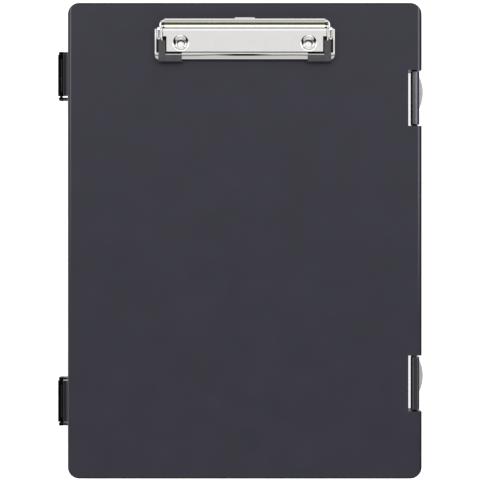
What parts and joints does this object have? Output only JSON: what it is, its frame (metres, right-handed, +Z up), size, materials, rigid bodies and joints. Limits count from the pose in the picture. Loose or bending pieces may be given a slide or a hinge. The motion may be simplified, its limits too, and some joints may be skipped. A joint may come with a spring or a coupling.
{
  "type": "storage clipboard box",
  "caption": "Shallow hinged document box whose lid is a clipboard, with a sprung clip at its head and swing latches along one side.",
  "frame": {"origin": "middle of the tray's underside, on the face the box rests on", "axes": "+X towards the latch side, +Y towards the clip, +Z up out of the writing face"},
  "size_m": [0.2594, 0.336, 0.0359],
  "materials": {
    "charcoal_plastic": "matte",
    "black_plastic": "satin",
    "nickel_steel": "polished",
    "plain_steel": "satin",
    "blackened_steel": "satin",
    "black_rubber": "matte"
  },
  "bodies": {
    "base": {"base_tray": "charcoal_plastic", "hinge_pin_upper": "blackened_steel", "hinge_pin_lower": "blackened_steel"},
    "lid": {"lid_board": "charcoal_plastic", "clip_bracket": "nickel_steel", "clip_pivot_pin": "plain_steel", "clip_spring_left": "plain_steel", "clip_spring_right": "plain_steel", "clip_rivet_left": "nickel_steel", "clip_rivet_right": "nickel_steel", "rivet_washer_left": "plain_steel", "rivet_washer_right": "plain_steel"},
    "latch_upper": {"latch_upper": "black_plastic"},
    "latch_lower": {"latch_lower": "black_plastic"},
    "clip_jaw": {"clip_jaw": "nickel_steel", "clip_lever_bar": "nickel_steel", "clip_lever_wire": "nickel_steel", "clip_roll": "nickel_steel", "jaw_pad_left": "black_rubber", "jaw_pad_right": "black_rubber"}
  },
  "joints": [
    {"name": "lid_hinge", "type": "hinge", "parent": "base", "child": "lid", "pos_m": [-0.1302, 0, 0.0195], "axis": [0, -1, 0], "range_deg": [0, 180]},
    {"name": "latch_upper_swing", "type": "hinge", "parent": "lid", "child": "latch_upper", "pos_m": [0.1204, 0.1008, 0.0247], "axis": [0, -1, 0], "range_deg": [0, 115]},
    {"name": "latch_lower_swing", "type": "hinge", "parent": "lid", "child": "latch_lower", "pos_m": [0.1204, -0.1008, 0.0247], "axis": [0, -1, 0], "range_deg": [0, 115]},
    {"name": "clip_jaw_pivot", "type": "hinge", "parent": "lid", "child": "clip_jaw", "pos_m": [0, 0.1476, 0.0303], "axis": [-1, 0, 0], "range_deg": [0, 25], "stiffness_Nm_per_rad": 0.25, "springref_deg": -68.75, "deforming": ["clip_spring_left", "clip_spring_right"]}
  ]
}
